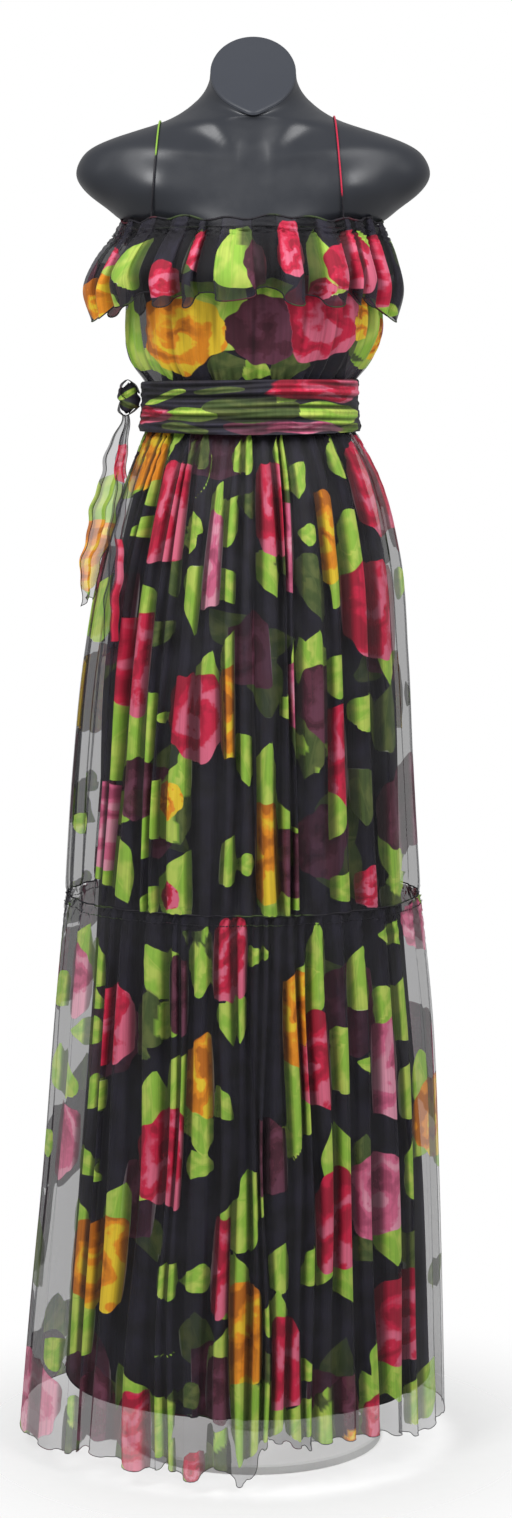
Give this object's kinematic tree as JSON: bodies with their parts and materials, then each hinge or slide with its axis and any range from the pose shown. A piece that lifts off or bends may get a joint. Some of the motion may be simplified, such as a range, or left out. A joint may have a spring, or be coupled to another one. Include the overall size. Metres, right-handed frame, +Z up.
{
  "type": "evening gown on a dress form",
  "caption": "Strapless-cut long evening gown with thin shoulder straps, neckline ruffle, tied sash and gathered tiered skirt in sheer floral print, on a limbless dress form with stand.",
  "frame": {"origin": "centre of the underside of the stand's round base, on the floor", "axes": "+Z up; the gown faces -Y; +X is to the right of a viewer who stands in front of it"},
  "size_m": [0.4672, 0.4274, 1.5136],
  "materials": {
    "printed_chiffon": "sheer black chiffon printed with roses and leaves",
    "sash_chiffon": "the same print, laid in soft pleats",
    "black_lining": "plain black lining cloth",
    "strap_cloth": "rolled straps in print colours",
    "charcoal_form": "satin moulded",
    "white_stand": "white, semi-gloss"
  },
  "bodies": {
    "root": {"bodice_front": "printed_chiffon", "bodice_back": "printed_chiffon", "ruffle_front": "printed_chiffon", "ruffle_back": "printed_chiffon", "sash_front": "sash_chiffon", "sash_back": "sash_chiffon", "skirt_upper_front": "printed_chiffon", "skirt_upper_back": "printed_chiffon", "skirt_lower_front": "printed_chiffon", "skirt_lower_back": "printed_chiffon", "underskirt_front": "black_lining", "underskirt_back": "black_lining", "sash_knot": "sash_chiffon", "sash_tail_wide": "sash_chiffon", "sash_tail_narrow": "sash_chiffon", "strap_left": "strap_cloth", "strap_right": "strap_cloth", "form_torso": "charcoal_form", "form_neck_cap": "charcoal_form", "stand_base": "white_stand", "stand_flange": "white_stand", "stand_pole": "white_stand"}
  },
  "joints": []
}
